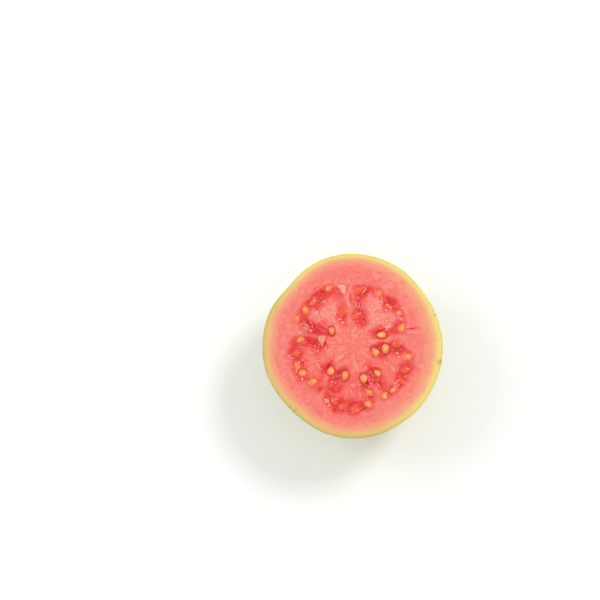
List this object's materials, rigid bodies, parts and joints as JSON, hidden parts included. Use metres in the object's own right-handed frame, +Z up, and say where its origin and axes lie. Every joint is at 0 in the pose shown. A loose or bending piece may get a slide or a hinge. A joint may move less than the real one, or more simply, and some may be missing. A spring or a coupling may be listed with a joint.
{
  "type": "halved pink guava",
  "caption": "Half a ripe pink guava lying on its skin: a domed yellow-green outside and a cut face with seed pockets.",
  "frame": {"origin": "on the surface that the half rests on, under the middle of its box", "axes": "+Z up, out of the cut face; +Y along the cut face's longer way; +X across it"},
  "size_m": [0.0762, 0.0792, 0.0395],
  "materials": {
    "flesh": "wet, finely grained salmon-pink fruit flesh",
    "skin": "thin waxy yellow-green skin with brown specks and scars",
    "seed": "hard tan seeds under a thin film of pulp"
  },
  "bodies": {
    "root": {"guava_half": "flesh"}
  },
  "joints": []
}
